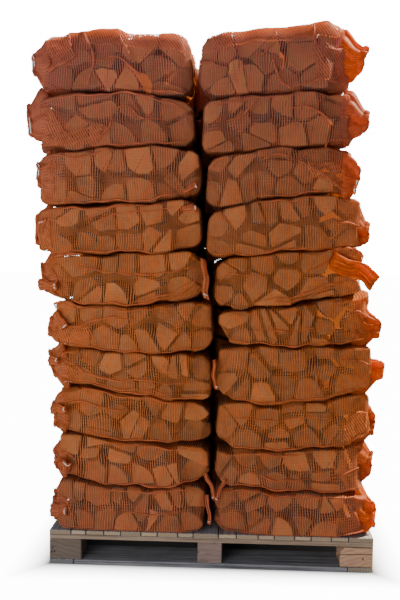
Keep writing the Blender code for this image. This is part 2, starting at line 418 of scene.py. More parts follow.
class Patches:
    """Collects closed skins and prisms, which become one mesh."""

    def __init__(self):
        self.points, self.corners, self.sizes = [], [], []
        self.uvs, self.kinds, self.tones, self.count = [], [], [], 0

    def add(self, faces, uvs, kind=0, tone=0.5):
        """Faces of one corner count, with a UV pair for each corner, of one kind and tone."""
        self.corners.append((faces + self.count).ravel())
        self.sizes.append(np.full(len(faces), faces.shape[1]))
        self.uvs.append(uvs.reshape(-1, 2))
        self.kinds.append(np.full(len(faces), kind))
        self.tones.append(np.full(len(faces), tone))

    def close(self, points):
        """Takes the points that the faces added since the last call stand on."""
        self.points.append(points)
        self.count += len(points)

    def sleeve(self, rings, uv, tips=None, kind=0):
        """A closed skin of rings (m, n, 3), with uv (m, n + 1, 2), and a point at each end.

        Without tips, the ends close in the middle of their rings.
        """
        m, n = rings.shape[:2]
        if tips is None:
            tips = rings[[0, -1]].mean(axis=1)
        points = np.concatenate([rings.reshape(-1, 3), tips])
        i, j = np.meshgrid(np.arange(m - 1), np.arange(n), indexing="ij")
        k = (j + 1) % n
        quads = np.stack([i * n + j, i * n + k, (i + 1) * n + k, (i + 1) * n + j], -1).reshape(-1, 4)
        quad_uv = np.stack([uv[i, j], uv[i, j + 1], uv[i + 1, j + 1], uv[i + 1, j]], -2)
        around = np.arange(n)
        after = (around + 1) % n
        first = np.stack([after, around, np.full(n, m * n)], -1)
        last = np.stack([(m - 1) * n + around, (m - 1) * n + after, np.full(n, m * n + 1)], -1)
        ends = np.concatenate([first, last])
        middle = uv[[0, -1]].mean(axis=1)
        end_uv = np.concatenate([
            np.stack([uv[0, around + 1], uv[0, around], np.repeat(middle[:1], n, 0)], 1),
            np.stack([uv[-1, around], uv[-1, around + 1], np.repeat(middle[1:], n, 0)], 1)])
        corners = points[ends]
        volume = np.linalg.det(corners).sum()
        for split in ((0, 1, 2), (0, 2, 3)):
            volume += np.linalg.det(points[quads[:, split]]).sum()
        quad_uv = quad_uv.reshape(-1, 4, 2)
        if volume < 0:
            quads, quad_uv = quads[:, ::-1], quad_uv[:, ::-1]
            ends, end_uv = ends[:, ::-1], end_uv[:, ::-1]
        self.add(quads, quad_uv, kind)
        self.add(ends, end_uv, kind)
        self.close(points)

    def build(self, name, materials, smooth=True):
        """The mesh object of all patches, as one piece."""
        points = np.concatenate(self.points)
        corners = np.concatenate(self.corners)
        sizes = np.concatenate(self.sizes)
        mesh = bpy.data.meshes.new(name)
        mesh.vertices.add(len(points))
        mesh.vertices.foreach_set("co", points.astype(np.float32).ravel())
        mesh.loops.add(len(corners))
        mesh.loops.foreach_set("vertex_index", corners.astype(np.int32))
        mesh.polygons.add(len(sizes))
        mesh.polygons.foreach_set("loop_start", (np.cumsum(sizes) - sizes).astype(np.int32))
        mesh.update(calc_edges=True)
        for material in materials:
            mesh.materials.append(material)
        mesh.polygons.foreach_set("material_index", np.concatenate(self.kinds).astype(np.int32))
        mesh.polygons.foreach_set("use_smooth", np.full(len(sizes), smooth))
        tones = np.concatenate(self.tones)
        if np.ptp(tones) > 0:
            own = mesh.attributes.new("Tone", "FLOAT", "FACE")
            own.data.foreach_set("value", tones.astype(np.float32))
        layer = mesh.uv_layers.new(name="Pattern")
        layer.uv.foreach_set("vector", np.concatenate(self.uvs).astype(np.float32).ravel())
        mesh.validate()
        obj = bpy.data.objects.new(name, mesh)
        bpy.context.scene.collection.objects.link(obj)
        return obj


def unit(vectors):
    """The vectors of an array, each made 1 long."""
    return vectors / (np.linalg.norm(vectors, axis=-1, keepdims=True) + 1e-12)


def run_along(points):
    """The length of a line of points up to each of them."""
    return np.concatenate([[0], np.cumsum(np.linalg.norm(np.diff(points, axis=0), axis=1))])


def joint_wave(side, joint, row, x):
    """Unevenness of the joint above a layer, the same for the sacks below and above it.

    Behind the front row, the joints are in turn a little lower and higher, so that none lets light by.
    """
    if joint == 0:
        return 0 * x
    chance = np.random.default_rng(JOINT_SEED * joint + SIDES.index(side))
    step = ROW_STEP * (-1) ** row if row and joint < LAYERS else 0.0
    if joint == LAYERS:
        bulge = sum(high * np.exp(-((x - at) / wide) ** 2) for at, wide, high in HUMPS[side])
        step = TOP_RISE + bulge * (BACK_HUMP_SHARE if row else 1.0)
    return step + sum(size * np.sin(2 * np.pi * (x / length + chance.random())) for size, length in WAVES)


def row_shape(side, layer):
    """Ends of a CAD sack row, and its lower and upper joint curves as quadratics in x."""
    name = f"sack_row_{side}_{layer:02d}"
    low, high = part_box(name)
    points = np.array([v.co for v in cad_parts[name].data.vertices])
    belly = points[np.abs(points[:, 1] - low.y - BELLY_STATION) < SAME_PLACE]
    belly = np.unique(np.round(belly, 5), axis=0)
    x, z = belly[:, 0], belly[:, 2]
    tips = np.interp(x, [x.min(), x.max()], [z[x.argmin()], z[x.argmax()]])
    chosen = (x > x.min() + END_ROUNDING) & (x < x.max() - END_ROUNDING)
    curves = []
    for on_side in (chosen & (z < tips), chosen & (z > tips)):
        flat = on_side.sum() < 3
        curves.append(np.array([0, 0, low.z]) if flat else np.polyfit(x[on_side], z[on_side], 2))
    return {"side": side, "layer": layer, "row": 0, "left": x.min(), "right": x.max(),
            "lower": curves[0], "upper": curves[1],
            "edges": (LOWEST_EDGE_POWER if layer == 1 else EDGE_POWER,
                      TOP_EDGE_POWER if layer == LAYERS else EDGE_POWER),
            "powers": (OUTER_END_POWER, INNER_END_POWER)[::1 if side == "left" else -1]}


def row_variant(shape, row, meeting, chance):
    """The shape of one sack of a row: sacks behind the front one vary and close the middle gap."""
    made = dict(shape)
    outer, inner = ("left", "right") if shape["side"] == "left" else ("right", "left")
    inwards = 1 if outer == "left" else -1
    made["row"] = row
    made["empty"] = chance.uniform(*EMPTY_END)
    if row == 0:
        made[outer] -= inwards * FRONT_REACH
        return made
    made[outer] += inwards * chance.uniform(0.0, PUSHED_IN)
    made[inner] = meeting + PACKED_OVERLAP * (-1) ** row
    made["powers"] = (OUTER_END_POWER, PACKED_END_POWER)[::1 if outer == "left" else -1]
    return made


def height_curves(shape, x, inset):
    """Lower and upper height at x, drawn together at the ends by (1 - |q|^power)^0.5."""
    left, right = shape["left"], shape["right"]
    q = np.clip((x - (left + right) / 2) / ((right - left) / 2), -1, 1)
    power = np.where(q < 0, *shape["powers"])
    rise = (1 - np.abs(q) ** power) ** END_ROOT
    side, layer, row = shape["side"], shape["layer"], shape["row"]
    bottom = np.polyval(shape["lower"], x) + joint_wave(side, layer - 1, row, x)
    top = np.polyval(shape["upper"], x) + joint_wave(side, layer, row, x)
    middle, half = (bottom + top) / 2, (top - bottom) / 2 - inset
    return middle - half * rise, middle + half * rise


def round_steps(steps, edges):
    """Places along a superellipse, from its lower front corner up its front, closer where it turns.

    Its lower and its upper half have a power each. Gives the cosine and sine terms and the share of
    the girth at each place, and the share between the two front corners.
    """
    angle = np.linspace(1.25 * np.pi, -0.75 * np.pi, 4001)
    power = np.where(np.sin(angle) < 0, *edges)
    c = np.sign(np.cos(angle)) * np.abs(np.cos(angle)) ** (2 / power)
    s = np.sign(np.sin(angle)) * np.abs(np.sin(angle)) ** (2 / power)
    dy, dz = np.diff(c) * LOG_LENGTH / 2, np.diff(s) * USUAL_HEIGHT / 2
    length = np.concatenate([[0], np.cumsum(np.hypot(dy, dz))])
    length /= length[-1]
    way = np.unwrap(np.arctan2(dz, dy))
    turned = np.concatenate([[0, 0], np.cumsum(np.abs(np.diff(way)))])
    measure = length + CORNER_SHARE * turned / turned[-1]
    places = np.arange(steps) / steps * measure[-1]
    return (np.interp(places, measure, c), np.interp(places, measure, s),
            np.interp(places, measure, length), length[1000])


def bag_base(shape, front, columns, steps):
    """The net's widest form: superellipse rings in YZ, set along X at sines of even steps."""
    left, right = shape["left"], shape["right"]
    q = END_REACH * np.sin(np.pi / 2 * np.linspace(-1, 1, columns))
    x = (left + right) / 2 + (right - left) / 2 * q
    bottom, top = height_curves(shape, x, NET_CLEARANCE)
    depth = (LOG_LENGTH / 2 - NET_CLEARANCE) * (1 - np.abs(q) ** DEPTH_POWER) ** DEPTH_ROOT
    c, s, _, _ = round_steps(steps, shape["edges"])
    rings = np.empty((columns, steps, 3))
    rings[..., 0] = x[:, None]
    rings[..., 1] = front + LOG_LENGTH / 2 + depth[:, None] * c
    rings[..., 2] = ((bottom + top) / 2)[:, None] + ((top - bottom) / 2)[:, None] * s
    return rings


def on_net(rings, normals, a, v):
    """Points and normals of a net at shares a along it and v up its front.

    Past 1, v goes on over the top.
    """
    columns, steps = rings.shape[:2]
    _, _, girth, share = round_steps(steps, (EDGE_POWER, EDGE_POWER))
    q = np.clip((2 * np.asarray(a) - 1) / END_REACH, -1, 1)
    i = (np.arcsin(q) / (np.pi / 2) + 1) / 2 * (columns - 1)
    j = np.interp(np.mod(np.asarray(v) * share, 1), np.append(girth, 1), np.arange(steps + 1)) % steps
    i0 = np.clip(np.floor(i).astype(int), 0, columns - 2)
    j0 = np.floor(j).astype(int) % steps
    j1 = (j0 + 1) % steps
    fi, fj = (i - i0)[..., None], (j - np.floor(j))[..., None]
    out = []
    for grid in (rings, normals):
        near = grid[i0, j0] * (1 - fj) + grid[i0, j1] * fj
        far = grid[i0 + 1, j0] * (1 - fj) + grid[i0 + 1, j1] * fj
        out.append(near * (1 - fi) + far * fi)
    return out[0], unit(out[1])


def outward(rings):
    """Unit normals of a ring grid, by central differences along and round it."""
    around = np.roll(rings, -1, 1) - np.roll(rings, 1, 1)
    normal = unit(np.cross(np.gradient(rings, axis=0), around))
    middle = rings.mean(axis=1, keepdims=True)
    inward = ((rings - middle) * normal).sum(-1, keepdims=True) < 0
    return np.where(inward, -normal, normal)


def clip(outline, normal, offset, tag=0):
    """The part of a convex outline behind a line. Column 2 tags the edge that starts at a point."""
    d = outline[:, :2] @ normal - offset
    following = np.roll(outline, -1, 0)
    ahead = np.roll(d, -1)
    crossing = d * ahead < 0
    share = d / np.where(crossing, d - ahead, 1)
    cut = outline + (following - outline) * share[:, None]
    cut[:, 2] = np.where(d < 0, tag, outline[:, 2])
    both = np.stack([outline, cut], 1).reshape(-1, 3)
    keep = np.stack([d <= 0, crossing], 1).ravel()
    return both[keep]


def area_of(outline):
    """Area of an outline, by the sum of the cross products of its corners."""
    x, z = outline[:, 0], outline[:, 1]
    return abs((x * np.roll(z, -1) - z * np.roll(x, -1)).sum()) / 2


def edge_normals(outline):
    """Outward unit normals of an outline that runs anticlockwise, and its edges' offsets."""
    edge = np.roll(outline[:, :2], -1, 0) - outline[:, :2]
    normal = unit(np.stack([edge[:, 1], -edge[:, 0]], -1))
    return normal, (normal * outline[:, :2]).sum(1)


def nearest_cells(section, seeds):
    """The parts of a section that lie nearest to each seed."""
    cells = []
    for seed in seeds:
        cell = section
        for other in seeds:
            away = other - seed
            distance = np.linalg.norm(away)
            if distance > 0:
                cell = clip(cell, away / distance, (seed + other) @ away / 2 / distance)
        cells.append(cell)
    return cells


def split_section(shape, pieces, halved, chance):
    """Parts a sack's section into log-sized cells: each point goes to its nearest of some spread
    seeds, and then the largest cells are halved.

    Column 2 of an outline says what each edge is: 0 split wood, 1 bark, 2 the section's own edge.
    """
    left, right = shape["left"] + END_INSET, shape["right"] - END_INSET
    if shape["side"] == "left":
        left += shape["empty"]
    else:
        right -= shape["empty"]
    q = np.sin(np.pi / 2 * np.linspace(-1, 1, OUTLINE_COLUMNS))
    x = (left + right) / 2 + (right - left) / 2 * q
    inset = EDGE_INSET[min(shape["row"], 1)]
    bottom, top = height_curves(shape, x, inset)
    ring = np.concatenate([np.stack([x, bottom], -1), np.stack([x, top], -1)[-2:0:-1]])
    section = np.column_stack([ring, np.full(len(ring), 2.0)])
    seeds = []
    while len(seeds) < pieces:
        tries = chance.uniform(0, 1, size=(SEED_TRIES, 2))
        tries[:, 0] = x[0] + SEED_MARGIN + tries[:, 0] * (x[-1] - x[0] - 2 * SEED_MARGIN)
        low, high = height_curves(shape, tries[:, 0], inset)
        tries[:, 1] = low + (high - low) * (SEED_HEIGHTS[0] + SEED_HEIGHTS[1] * tries[:, 1])
        if seeds:
            room = np.linalg.norm(tries[:, None] - np.array(seeds), axis=2).min(1)
        else:
            room = chance.random(SEED_TRIES)
        seeds.append(tries[room.argmax()])
    cells = nearest_cells(section, np.array(seeds))
    cells = nearest_cells(section, np.array([cell[:, :2].mean(0) for cell in cells]))
    for _ in range(halved):
        cells.sort(key=area_of)
        cell = cells.pop()
        turn = chance.uniform(0, np.pi)
        normal = np.array([math.cos(turn), math.sin(turn)])
        offset = cell[:, :2].mean(0) @ normal
        cells += [clip(cell, normal, offset), clip(cell, -normal, -offset)]
    return cells


def log_section(cell, gap_share, bark_share, chance):
    """A log's section in its cell: drawn in by a gap, blunted, and often with one round side of bark."""
    outline = cell
    for normal, offset, kind in zip(*edge_normals(cell), cell[:, 2]):
        if kind != 2:
            outline = clip(outline, normal, offset - gap_share * chance.uniform(*LOG_GAP))
    if len(outline) < 3:
        return None, None
    corners = outline[:, :2]
    outside = corners[outline[:, 2] == 2]
    at_edge = len(outside) > 0
    pith = outside[chance.integers(len(outside))] if at_edge else corners[chance.integers(len(corners))]
    if chance.random() < bark_share:
        reach = np.linalg.norm(corners - pith, axis=1).max() * chance.uniform(*BARK_REACH)
        towards = math.atan2(*(corners.mean(0) - pith)[::-1])
        for turn in BARK_TURNS:
            normal = np.array([math.cos(towards + turn), math.sin(towards + turn)])
            outline = clip(outline, normal, pith @ normal + reach, tag=1)
    outline = hollows_filled(blunt_corners(outline, chance)).copy()
    if len(outline) < 3:
        return None, None
    outline[outline[:, 2] == 2, 2] = float(chance.random() < 0.5)
    return outline, pith


def hollows_filled(outline):
    """The part of an outline behind all of its own edges, which has no hollow side."""
    for normal, offset, kind in zip(*edge_normals(outline), outline[:, 2]):
        outline = clip(outline, normal, offset + SLACK, kind)
        if len(outline) < 3:
            break
    return outline


def blunt_corners(outline, chance):
    """Cuts the tips of corners sharper than a given angle, as splitting breaks them off."""
    flat = outline[:, :2]
    before, after = (unit(np.roll(flat, step, 0) - flat) for step in (1, -1))
    sharp = (before * after).sum(1) > math.cos(BLUNTED_ANGLE)
    for corner, inwards in zip(flat[sharp], (before + after)[sharp]):
        normal = -inwards / np.linalg.norm(inwards)
        outline = clip(outline, normal, corner @ normal - chance.uniform(*BLUNTED_LENGTH))
    return outline


def log_planes(logs):
    """All logs' side and end planes as normals (logs, planes, 3) and offsets (logs, planes)."""
    most = max(len(log["outline"]) for log in logs) + 2
    normals = np.zeros((len(logs), most, 3))
    offsets = np.zeros((len(logs), most))
    for k, log in enumerate(logs):
        normal, offset = edge_normals(log["outline"])
        count = len(offset)
        normals[k, :count, 0], normals[k, :count, 2] = normal[:, 0], normal[:, 1]
        offsets[k, :count] = offset
        normals[k, count:] = (-log["slopes"][1][0], 1, -log["slopes"][1][1])
        offsets[k, count:] = log["back"] - log["slopes"][1] @ log["middle"]
        normals[k, count] = (log["slopes"][0][0], -1, log["slopes"][0][1])
        offsets[k, count] = log["slopes"][0] @ log["middle"] - log["front"]
    return normals, offsets


def way_to_logs(points, normals, logs):
    """How far in from each point, against its normal, the first log lies. Far where none does."""
    planes, offsets = log_planes(logs)
    count, most = offsets.shape
    flat = planes.reshape(-1, 3)
    room = offsets.ravel() - points @ flat.T
    speed = -(normals @ flat.T)
    safe = np.where(np.abs(speed) < PARALLEL, PARALLEL, speed)
    ratio = room / safe
    enter = np.where(speed < -PARALLEL, ratio, -np.inf).reshape(-1, count, most).max(2)
    leave = np.where(speed > PARALLEL, ratio, np.inf).reshape(-1, count, most).min(2)
    outside = ((np.abs(speed) <= PARALLEL) & (room < 0)).reshape(-1, count, most).any(2)
    hit = (enter < leave) & ~outside
    return np.where(hit, enter, FAR).min(1)


def draw_tight(limit):
    """Depth of a stretched net: the mean of its neighbours, but never past the logs under it."""
    depth = np.minimum(limit, MOST_SAG)
    for _ in range(TIGHTENING_ROUNDS):
        near = np.roll(depth, 1, 1) + np.roll(depth, -1, 1)
        near[1:-1] += depth[:-2] + depth[2:]
        near[0] += 2 * depth[1]
        near[-1] += 2 * depth[-2]
        depth = np.minimum(limit, near / 4)
    return depth


def mid_height(shape):
    """Height of the middle of a sack."""
    middle = np.array([(shape["left"] + shape["right"]) / 2])
    return sum(height_curves(shape, middle, 0))[0] / 2


def fill_sack(shape, front, row, chance):
    """The logs of one sack, each with its section, its pith, and where and how its ends are cut."""
    logs = []
    fewest, most = LOG_COUNTS[min(row, 1)]
    gap_share = TOP_GAP_SHARE if shape["layer"] == LAYERS else 1
    for cell in split_section(shape, chance.integers(fewest, most + 1), HALVED[min(row, 1)], chance):
        high = cell[:, 1].mean() > mid_height(shape)
        at_top = shape["layer"] == LAYERS and (cell[:, 2] == 2).any() and high
        outline, pith = log_section(cell, gap_share, TOP_BARK_SHARE if at_top else BARK_SHARE, chance)
        if outline is None or area_of(outline) < LEAST_SECTION:
            continue
        recess = chance.uniform(*LOG_RECESS, size=2)
        if chance.random() < DEEP_SHARE:
            recess += chance.uniform(*DEEP_RECESS)
        if at_top:
            recess += chance.uniform(*TOP_RECESS)
        q = (outline[:, 0] - (shape["left"] + shape["right"]) / 2) / ((shape["right"] - shape["left"]) / 2)
        far = min(np.abs(q).max(), 0.99)
        recess += END_SHARE * LOG_LENGTH / 2 * (1 - (1 - far ** DEPTH_POWER) ** DEPTH_ROOT)
        outer = shape["left"] if shape["side"] == "left" else shape["right"]
        if row == 0 and abs(outline[:, 0].mean() - outer) < HOLLOW_LENGTH:
            recess[0] += HOLLOW_ENDS.get((shape["side"], shape["layer"]), 0.0)
        slopes = chance.uniform(-END_SLOPE, END_SLOPE, size=(2, 2))
        middle = outline[:, :2].mean(0)
        lean = (np.abs((outline[:, :2] - middle) @ slopes.T)).max(0)
        logs.append({"outline": outline, "pith": pith, "middle": middle, "slopes": slopes,
                     "front": front + recess[0] + lean[0],
                     "back": front + LOG_LENGTH - recess[1] - lean[1]})
    return logs


def net_over(shape, front, logs, fineness, chance):
    """Rings of one sack's net, drawn over its logs, and its UV in metres of cloth."""
    columns, steps = fineness
    base = bag_base(shape, front, columns, steps)
    normals = outward(base)
    limit = way_to_logs(base.reshape(-1, 3), normals.reshape(-1, 3), logs)
    limit = limit.reshape(columns, steps) - NET_LIFT[min(shape["row"], 1)]
    depth = draw_tight(limit)
    depth = np.maximum(depth, -MOST_STAND)
    rings = base - normals * depth[..., None]
    uv = np.zeros((columns, steps + 1, 2))
    run = np.cumsum(np.linalg.norm(np.diff(base, axis=0, prepend=base[:1]), axis=-1), axis=0)
    run -= run[columns // 2]
    uv[:, :-1, 0] = run + chance.uniform(1, 2)
    uv[:, -1, 0] = uv[:, 0, 0]
    middle = base[columns // 2]
    uv[:, 1:, 1] = np.cumsum(np.linalg.norm(np.roll(middle, -1, 0) - middle, axis=-1))
    return rings, normals, uv


def spline(points, count):
    """A smooth line through given points: cubic Hermite pieces with central slopes."""
    points = np.asarray(points, float)
    slopes = np.gradient(points, axis=0)
    place = np.linspace(0, len(points) - 1, count)
    k = np.clip(np.floor(place).astype(int), 0, len(points) - 2)
    t = (place - k)[:, None]
    return ((2 * t ** 3 - 3 * t ** 2 + 1) * points[k] + (t ** 3 - 2 * t ** 2 + t) * slopes[k]
            + (3 * t ** 2 - 2 * t ** 3) * points[k + 1] + (t ** 3 - t ** 2) * slopes[k + 1])


def raised(rings, normals, course, width):
    """The net pushed out along a fold's course, by a bell curve of the distance from it."""
    line = spline(course, 40)
    middle, _ = on_net(rings, normals, line[:, 0], line[:, 1])
    away = np.linalg.norm(rings[:, :, None] - middle, axis=-1).min(-1)
    height = 0.4 * width * np.exp(-(away / (0.5 * width + 0.005)) ** 2)
    return rings + normals * height[..., None]


def ridge(patches, rings, normals, course, width, chance):
    """A gathered fold of net lying on a sack: a low strip along a course of (a, v) shares."""
    count = 34
    line = spline(course, count)
    sway = np.linspace(0, chance.uniform(6, 14), count)
    line[:, 1] += FOLD_SWAY * np.sin(sway + chance.uniform(0, 6))
    middle, normal = on_net(rings, normals, line[:, 0], line[:, 1])
    side = unit(np.cross(unit(np.gradient(middle, axis=0)), normal))
    taper = np.sin(np.linspace(0.12, np.pi - 0.12, count)) ** 0.6 * (1 + 0.35 * np.sin(2.3 * sway))
    angle = np.linspace(0, 2 * np.pi, 8, endpoint=False)
    across = FOLD_WIDTH * width / 2 * taper[:, None] * np.cos(angle)
    height = FOLD_WIDTH * width / 2 * taper[:, None] * np.sin(angle) + FOLD_LIFT
    loops = middle[:, None] + side[:, None] * across[..., None] + normal[:, None] * height[..., None]
    uv = np.zeros((count, 9, 2))
    uv[..., 0] = np.linspace(0, 3 * width, 9)
    uv[..., 1] = run_along(middle)[:, None]
    patches.sleeve(loops, uv, kind=NET_KINDS.index("folded"))


def flap(patches, rings, normals, corners, chance):
    """A loose second layer of net on a sack: a thin creased sheet between four (a, v) corners."""
    m, n = 22, 16
    p, r = np.meshgrid(np.linspace(0, 1, m), np.linspace(0, 1, n), indexing="ij")
    a0, b0, c0, d0 = np.array(corners) / 100
    place = (a0 * ((1 - p) * (1 - r))[..., None] + b0 * (p * (1 - r))[..., None]
             + c0 * (p * r)[..., None] + d0 * ((1 - p) * r)[..., None])
    base, normal = on_net(rings, normals, place[..., 0], place[..., 1])
    crease = np.sin(p * chance.uniform(9, 14) + r * chance.uniform(3, 6) + chance.uniform(0, 6))
    lift = FLAP_LIFT + FLAP_CREASE * crease * np.sin(np.pi * p) * np.sin(np.pi * r)
    outer = base + normal * lift[..., None]
    inner = base + normal * (lift - FLAP_THICKNESS)[..., None]
    loops = np.concatenate([outer, inner[:, ::-1]], axis=1)
    uv = np.zeros((m, 2 * n + 1, 2))
    c, s = math.cos(FLAP_TURN), math.sin(FLAP_TURN)
    uv[:, :-1, 0] = loops[..., 0] * c + loops[..., 2] * s
    uv[:, :-1, 1] = loops[..., 2] * c - loops[..., 0] * s
    uv[:, -1] = uv[:, 0]
    patches.sleeve(loops, uv, kind=NET_KINDS.index("loose"))


def mouth(patches, root, hem, thick, chance, kind, steps=52):
    """A gathered mouth from its root to its hem, each given by its two ends, as (2, 3).

    Its width goes from the root's to the hem's by 1 - (1 - t)^1.2 and its thickness falls by
    (1 - t)^1.1. Pleats run along it and deepen towards the hem, which has a sewn neck before it and
    its rim turned in.
    """
    along, sewn = np.array(MOUTH_RINGS).T
    t = np.clip(along, 0, 1)
    ease = 1 - (1 - t) ** 1.2
    rise = hem.mean(0) - root.mean(0)
    half = (root[0] - root[1]) / 2 * (1 - ease)[:, None] + (hem[0] - hem[1]) / 2 * ease[:, None]
    width = np.linalg.norm(half, axis=1)
    phase = chance.uniform(0, 6.28)
    sway = 0.5 * np.sin(6 * t + phase) * min(1, np.linalg.norm(rise) / (8 * width[-1]))
    middle = root.mean(0) + rise * along[:, None] + half * sway[:, None]
    through = unit(np.cross(rise, half))
    flat = (thick * (1 - t) ** 1.1 + HEM_THICKNESS) * sewn ** 4
    angle = np.linspace(0, 2 * np.pi, steps, endpoint=False)
    folds = chance.integers(5, 8)
    ripple = np.sin(folds * angle + phase) + 0.5 * np.sin((2 * folds + 1) * angle + 2 * phase)
    deepen = (0.10 + 0.16 * t)[:, None]
    wide = sewn[:, None] * (1 + 0.3 * deepen * ripple) * np.cos(angle)
    lift = flat[:, None] * (1 + 1.6 * deepen * ripple) * np.sin(angle)
    pleats = 0.16 * np.sin(4.1 * np.cos(angle) + phase) + 0.08 * np.sin(10.5 * np.cos(angle) + 2 * phase)
    lift = lift + (width * (0.15 + 0.85 * t))[:, None] * pleats
    rings = middle[:, None] + half[:, None] * wide[..., None] + through[:, None] * lift[..., None]
    uv = np.zeros((len(along), steps + 1, 2))
    uv[..., 0] = np.linspace(0, 4, steps + 1) * max(width[0], width[-1])
    uv[..., 1] = (along * np.linalg.norm(rise))[:, None]
    patches.sleeve(rings, uv, np.stack([rings[0].mean(0), rings[-1].mean(0)]), kind=kind)
    return rings


def draw_string(patches, rings):
    """A white string in the hem: a thin tube along the part of the hem that faces the front."""
    hem = rings[HEM_RING]
    count = len(hem)
    stretch = (hem[:, 1].argmin() + np.arange(-count // 12, count // 10)) % count
    middle = hem.mean(0)
    line = spline((middle + (hem[stretch] - middle) * 1.06)[::3], 14)
    tube(patches, line, STRING_RADIUS, 6)


def tube(patches, line, radius, steps):
    """A round tube along a line of points, its rings square to the line's direction."""
    way = unit(np.gradient(line, axis=0))
    side = unit(np.cross(way, OFF_AXIS))
    up = np.cross(side, way)
    angle = np.linspace(0, 2 * np.pi, steps, endpoint=False)
    rings = line[:, None] + radius * (side[:, None] * np.cos(angle)[:, None]
                                      + up[:, None] * np.sin(angle)[:, None])
    uv = np.zeros((len(line), steps + 1, 2))
    uv[..., 0] = np.linspace(0, 2 * np.pi * radius, steps + 1)
    uv[..., 1] = run_along(line)[:, None]
    patches.sleeve(rings, uv)


def add_log(patches, log, chance):
    """A split log: its section carried from end to end, with leaning sawn ends and worn rims.

    Ends take UV from the pith, so that rings run round it. Sides take UV along the log and round it.
    Each log has a tone of its own, from 0 to 1.
    """
    outline, middle = log["outline"], log["middle"]
    count = len(outline)
    flat = outline[:, :2]
    reach = np.linalg.norm(flat - middle, axis=1, keepdims=True)
    worn = middle + (flat - middle) * (1 - RIM / reach)
    rings = np.empty((4, count, 3))
    cuts = ((worn, log["front"], 0, 0.0), (flat, log["front"], 0, RIM),
            (flat, log["back"], 1, -RIM), (worn, log["back"], 1, 0.0))
    for k, (section, y, slope, inwards) in enumerate(cuts):
        rings[k, :, 0], rings[k, :, 2] = section[:, 0], section[:, 1]
        rings[k, :, 1] = y + inwards + (section - middle) @ log["slopes"][slope]
    j = np.arange(count)
    after = (j + 1) % count
    run = run_along(np.concatenate([flat, flat[:1]]))
    seed = chance.uniform(0, 5)
    tone = 3.7 * seed % 1
    here, there = run[:-1] + seed, run[1:] + seed
    bark = outline[:, 2] > 0.5
    places = seed + np.array([0.0, RIM, LOG_LENGTH - RIM, LOG_LENGTH])
    for k in range(3):
        sides = np.stack([j, j + count, after + count, after], -1) + k * count
        start, end = np.full(count, places[k]), np.full(count, places[k + 1])
        side_uv = np.stack([np.stack(pair, -1) for pair in
                            ((start, here), (end, here), (end, there), (start, there))], 1)
        for kind, chosen in ((1, ~bark), (2, bark)):
            if chosen.any():
                patches.add(sides[chosen], side_uv[chosen], kind, tone)
    end_uv = flat - log["pith"]
    patches.add(j[None], end_uv[None], 0, tone)
    patches.add(3 * count + j[::-1][None], end_uv[::-1][None], 0, tone)
    patches.close(rings.reshape(-1, 3))


